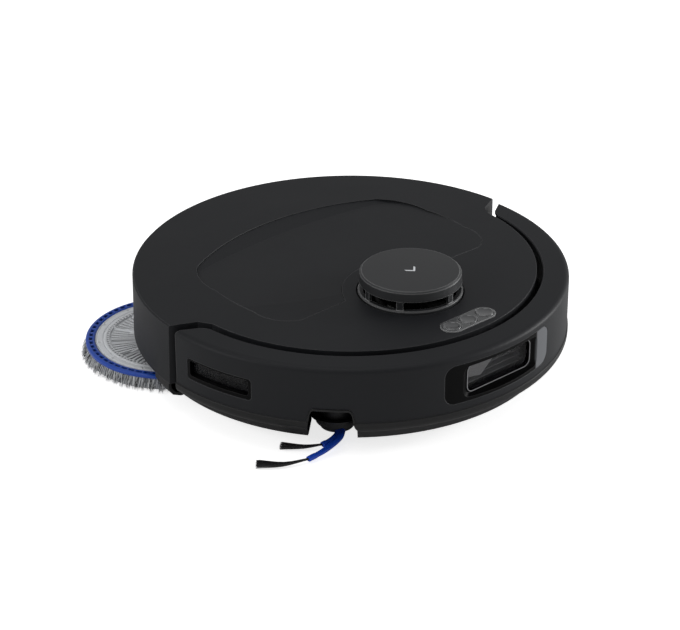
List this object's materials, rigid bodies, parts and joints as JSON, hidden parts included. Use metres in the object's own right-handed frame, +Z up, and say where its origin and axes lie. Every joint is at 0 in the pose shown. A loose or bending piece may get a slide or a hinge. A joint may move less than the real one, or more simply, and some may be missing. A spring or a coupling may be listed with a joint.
{
  "type": "robot vacuum",
  "caption": "Low round robot vacuum and mop with a lidar turret, floating bumper, side brush, roller, swing-out spinning mop pad, drive wheels and lift-out dust bin.",
  "frame": {"origin": "on the floor under the middle of the round drum", "axes": "+Z up, front of the machine towards -Y, its own right side towards -X"},
  "size_m": [0.361, 0.3544, 0.1008],
  "materials": {
    "shell_plastic": "fine matte texture",
    "bezel_plastic": "polished",
    "trim_rubber": "satin",
    "clear_pane": "polished",
    "under_plastic": "moulded texture",
    "inner_plastic": "moulded",
    "steel": "turned",
    "roller_rubber": "satin",
    "caster_plastic": "moulded",
    "blue_rubber": "satin",
    "bristle": "nylon bristle",
    "turret_plastic": "fine matte texture",
    "lidar_plastic": "polished",
    "panel_plastic": "translucent grey",
    "button_plastic": "translucent grey",
    "board": "solder mask",
    "battery_wrap": "shrink wrap",
    "lens_glass": "infrared window",
    "contact_metal": "plated",
    "bin_plastic": "smoked",
    "filter_paper": "pleated",
    "fan_plastic": "moulded",
    "tyre_rubber": "treaded",
    "mop_plastic": "moulded",
    "blue_plastic": "satin",
    "mop_fibre": "microfibre and nylon"
  },
  "bodies": {
    "chassis": {"base_plate": "under_plastic", "battery": "battery_wrap", "battery_cover": "under_plastic", "brush_chamber": "under_plastic", "brush_guard": "inner_plastic", "button_panel": "panel_plastic", "charge_contacts": "contact_metal", "circuit_boards": "board", "exhaust_grille": "inner_plastic", "fan_housing": "inner_plastic", "lidar_base": "inner_plastic", "mop_bay": "under_plastic", "mop_gearbox_left": "inner_plastic", "mop_swing_motor": "inner_plastic", "screws": "steel", "sensor_lenses": "lens_glass", "sensor_modules": "inner_plastic", "service_tray": "inner_plastic", "side_brush_motor": "inner_plastic", "top_housing": "shell_plastic", "turret_base": "turret_plastic", "turret_cap": "turret_plastic", "wheel_springs": "steel", "wheel_wells": "under_plastic"},
    "cover": {"top_cover": "shell_plastic"},
    "bin": {"dust_bin": "bin_plastic", "bin_lid": "bin_plastic", "bin_filter": "filter_paper"},
    "bin_flap_body": {"bin_flap": "inner_plastic"},
    "bumper": {"bumper_shell": "shell_plastic", "bumper_trim": "trim_rubber", "window_frames": "bezel_plastic", "window_panes": "clear_pane"},
    "main_brush": {"brush_core": "steel", "brush_fins": "roller_rubber"},
    "suspension_left": {"wheel_arm_left": "inner_plastic"},
    "suspension_right": {"wheel_arm_right": "inner_plastic"},
    "wheel_left": {"wheel_tyre_left": "tyre_rubber", "wheel_rim_left": "inner_plastic"},
    "wheel_right": {"wheel_tyre_right": "tyre_rubber", "wheel_rim_right": "inner_plastic"},
    "caster_swivel": {"caster_fork": "under_plastic"},
    "caster_roll": {"caster_wheel": "caster_plastic"},
    "side_brush": {"side_brush_hub": "inner_plastic", "side_brush_arms": "blue_rubber", "side_brush_tufts": "bristle"},
    "mop_arm": {"mop_gearbox_right": "inner_plastic"},
    "mop_lift_right_body": {"mop_spindle_right": "steel"},
    "mop_right": {"mop_plate_right": "mop_plastic", "mop_ring_right": "blue_plastic", "mop_pad_right": "mop_fibre"},
    "mop_lift_left_body": {"mop_spindle_left": "steel"},
    "mop_left": {"mop_plate_left": "mop_plastic", "mop_ring_left": "blue_plastic", "mop_pad_left": "mop_fibre"},
    "lidar": {"lidar_rotor": "lidar_plastic"},
    "fan": {"fan_impeller": "fan_plastic"},
    "press_left": {"button_left": "button_plastic"},
    "press_middle": {"button_middle": "button_plastic"},
    "press_right": {"button_right": "button_plastic"}
  },
  "joints": [
    {"name": "cover_lift", "type": "slide", "parent": "chassis", "child": "cover", "axis": [0, 0, 1], "range_m": [0, 0.12]},
    {"name": "bin_lift", "type": "slide", "parent": "chassis", "child": "bin", "axis": [0, 0, 1], "range_m": [0, 0.066]},
    {"name": "bin_flap_swing", "type": "hinge", "parent": "bin", "child": "bin_flap_body", "pos_m": [0, 0.0227, 0.06], "axis": [1, 0, 0], "range_deg": [0, 70]},
    {"name": "bumper_press", "type": "slide", "parent": "chassis", "child": "bumper", "axis": [0, 1, 0], "range_m": [0, 0.004], "stiffness_N_per_m": 300, "springref_m": -0.002},
    {"name": "main_brush_spin", "type": "hinge", "parent": "chassis", "child": "main_brush", "pos_m": [0, -0.0205, 0.0205], "axis": [1, 0, 0], "continuous": true},
    {"name": "suspension_left", "type": "hinge", "parent": "chassis", "child": "suspension_left", "pos_m": [0.096, -0.052, 0.03], "axis": [-1, 0, 0], "range_deg": [0, 12], "stiffness_Nm_per_rad": 0.25, "springref_deg": 45.84},
    {"name": "wheel_spin_left", "type": "hinge", "parent": "suspension_left", "child": "wheel_left", "pos_m": [0.119, -0.009, 0.033], "axis": [1, 0, 0], "continuous": true},
    {"name": "suspension_right", "type": "hinge", "parent": "chassis", "child": "suspension_right", "pos_m": [-0.096, -0.052, 0.03], "axis": [-1, 0, 0], "range_deg": [0, 12], "stiffness_Nm_per_rad": 0.25, "springref_deg": 45.84},
    {"name": "wheel_spin_right", "type": "hinge", "parent": "suspension_right", "child": "wheel_right", "pos_m": [-0.119, -0.009, 0.033], "axis": [1, 0, 0], "continuous": true},
    {"name": "caster_turn", "type": "hinge", "parent": "chassis", "child": "caster_swivel", "pos_m": [0, -0.124, 0.03], "axis": [0, 0, 1], "continuous": true},
    {"name": "caster_spin", "type": "hinge", "parent": "caster_swivel", "child": "caster_roll", "pos_m": [0, -0.1175, 0.0125], "axis": [1, 0, 0], "continuous": true},
    {"name": "side_brush_spin", "type": "hinge", "parent": "chassis", "child": "side_brush", "pos_m": [-0.09185, -0.08625, 0.01], "axis": [0, 0, 1], "continuous": true, "deforming": ["side_brush_tufts"]},
    {"name": "mop_swing", "type": "hinge", "parent": "chassis", "child": "mop_arm", "pos_m": [-0.10691, 0.05244, 0.04], "axis": [0, 0, 1], "range_deg": [-46.67, 0]},
    {"name": "mop_lift_right", "type": "slide", "parent": "mop_arm", "child": "mop_lift_right_body", "axis": [0, 0, 1], "range_m": [0, 0.008]},
    {"name": "mop_spin_right", "type": "hinge", "parent": "mop_lift_right_body", "child": "mop_right", "pos_m": [-0.1105, 0.099, 0.014], "axis": [0, 0, 1], "continuous": true},
    {"name": "mop_lift_left", "type": "slide", "parent": "chassis", "child": "mop_lift_left_body", "axis": [0, 0, 1], "range_m": [0, 0.008]},
    {"name": "mop_spin_left", "type": "hinge", "parent": "mop_lift_left_body", "child": "mop_left", "pos_m": [0.0755, 0.087, 0.014], "axis": [0, 0, 1], "continuous": true},
    {"name": "lidar_spin", "type": "hinge", "parent": "chassis", "child": "lidar", "pos_m": [0, -0.07, 0.08], "axis": [0, 0, 1], "continuous": true},
    {"name": "fan_spin", "type": "hinge", "parent": "chassis", "child": "fan", "pos_m": [0, 0.128, 0.06], "axis": [0, 0, 1], "continuous": true},
    {"name": "press_left", "type": "slide", "parent": "chassis", "child": "press_left", "axis": [0, 0, -1], "range_m": [0, 0.0006], "stiffness_N_per_m": 400, "springref_m": -0.0005},
    {"name": "press_middle", "type": "slide", "parent": "chassis", "child": "press_middle", "axis": [0, 0, -1], "range_m": [0, 0.0006], "stiffness_N_per_m": 400, "springref_m": -0.0005},
    {"name": "press_right", "type": "slide", "parent": "chassis", "child": "press_right", "axis": [0, 0, -1], "range_m": [0, 0.0006], "stiffness_N_per_m": 400, "springref_m": -0.0005}
  ],
  "couplings": [
    {"joint": "bin_lift", "follows": "cover_lift", "ratio": 0.55}
  ]
}
